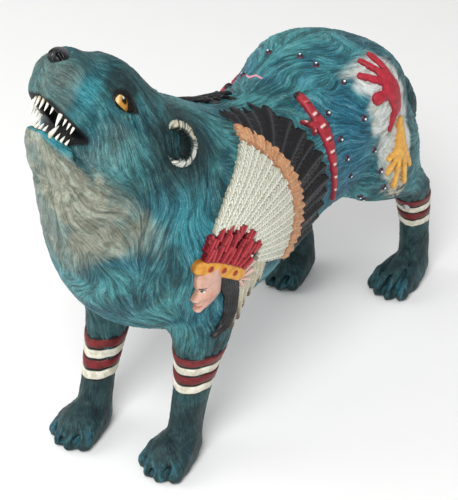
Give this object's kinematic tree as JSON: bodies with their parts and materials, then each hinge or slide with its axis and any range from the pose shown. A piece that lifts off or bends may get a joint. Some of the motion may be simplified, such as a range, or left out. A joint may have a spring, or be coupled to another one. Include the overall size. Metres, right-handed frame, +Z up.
{
  "type": "howling wolf figurine",
  "caption": "Free-standing howling wolf figurine in painted cast resin, with painted relief on its flanks and striped leg bands.",
  "frame": {"origin": "on the ground, under the middle of the whole figure's box", "axes": "-Y is the way the wolf faces, +X is the wolf's left side, +Z is up"},
  "size_m": [0.065, 0.1904, 0.164],
  "materials": {
    "painted_resin": "hand-painted cast resin, satin, dark wash in the fur grooves",
    "steel_pin": "plain steel rod",
    "eye_gloss": "glossy amber paint with a dark pupil",
    "nose_gloss": "glossy black paint",
    "tooth_ivory": "glossy ivory paint",
    "white_paint": "satin paint",
    "red_paint": "satin paint",
    "black_paint": "satin paint with a grey dry-brush",
    "tan_paint": "satin paint",
    "cream_paint": "satin paint with a brown wash",
    "yellow_paint": "satin paint",
    "skin_paint": "satin paint",
    "bead_gloss": "glossy dark paint with a white dot"
  },
  "bodies": {
    "root": {"torso": "painted_resin", "head": "painted_resin", "lower_jaw": "painted_resin", "tail": "painted_resin", "left_ear": "painted_resin", "right_ear": "painted_resin", "leg_pins": "steel_pin", "neck_pin": "steel_pin", "left_eye": "eye_gloss", "right_eye": "eye_gloss", "nose": "nose_gloss", "upper_teeth": "tooth_ivory", "lower_teeth": "tooth_ivory", "front_left_leg": "painted_resin", "front_left_white_bands": "white_paint", "front_left_red_bands": "red_paint", "front_right_leg": "painted_resin", "front_right_white_bands": "white_paint", "front_right_red_bands": "red_paint", "hind_left_leg": "painted_resin", "hind_left_white_bands": "white_paint", "hind_left_red_bands": "red_paint", "hind_right_leg": "painted_resin", "hind_right_white_bands": "white_paint", "hind_right_red_bands": "red_paint", "left_black_feather_tips": "black_paint", "left_tan_fluff": "tan_paint", "left_white_feathers": "cream_paint", "left_red_crown": "red_paint", "left_headband": "yellow_paint", "left_face": "skin_paint", "left_black_hair": "black_paint", "left_trailing_feathers": "cream_paint", "left_red_lizard": "red_paint", "left_red_hand": "red_paint", "left_yellow_hand": "yellow_paint", "left_beads": "bead_gloss", "right_black_feather_tips": "black_paint", "right_tan_fluff": "tan_paint", "right_white_feathers": "cream_paint", "right_red_crown": "red_paint", "right_headband": "yellow_paint", "right_face": "skin_paint", "right_black_hair": "black_paint", "right_trailing_feathers": "cream_paint", "right_red_lizard": "red_paint", "right_red_hand": "red_paint", "right_yellow_hand": "yellow_paint", "right_beads": "bead_gloss"}
  },
  "joints": []
}
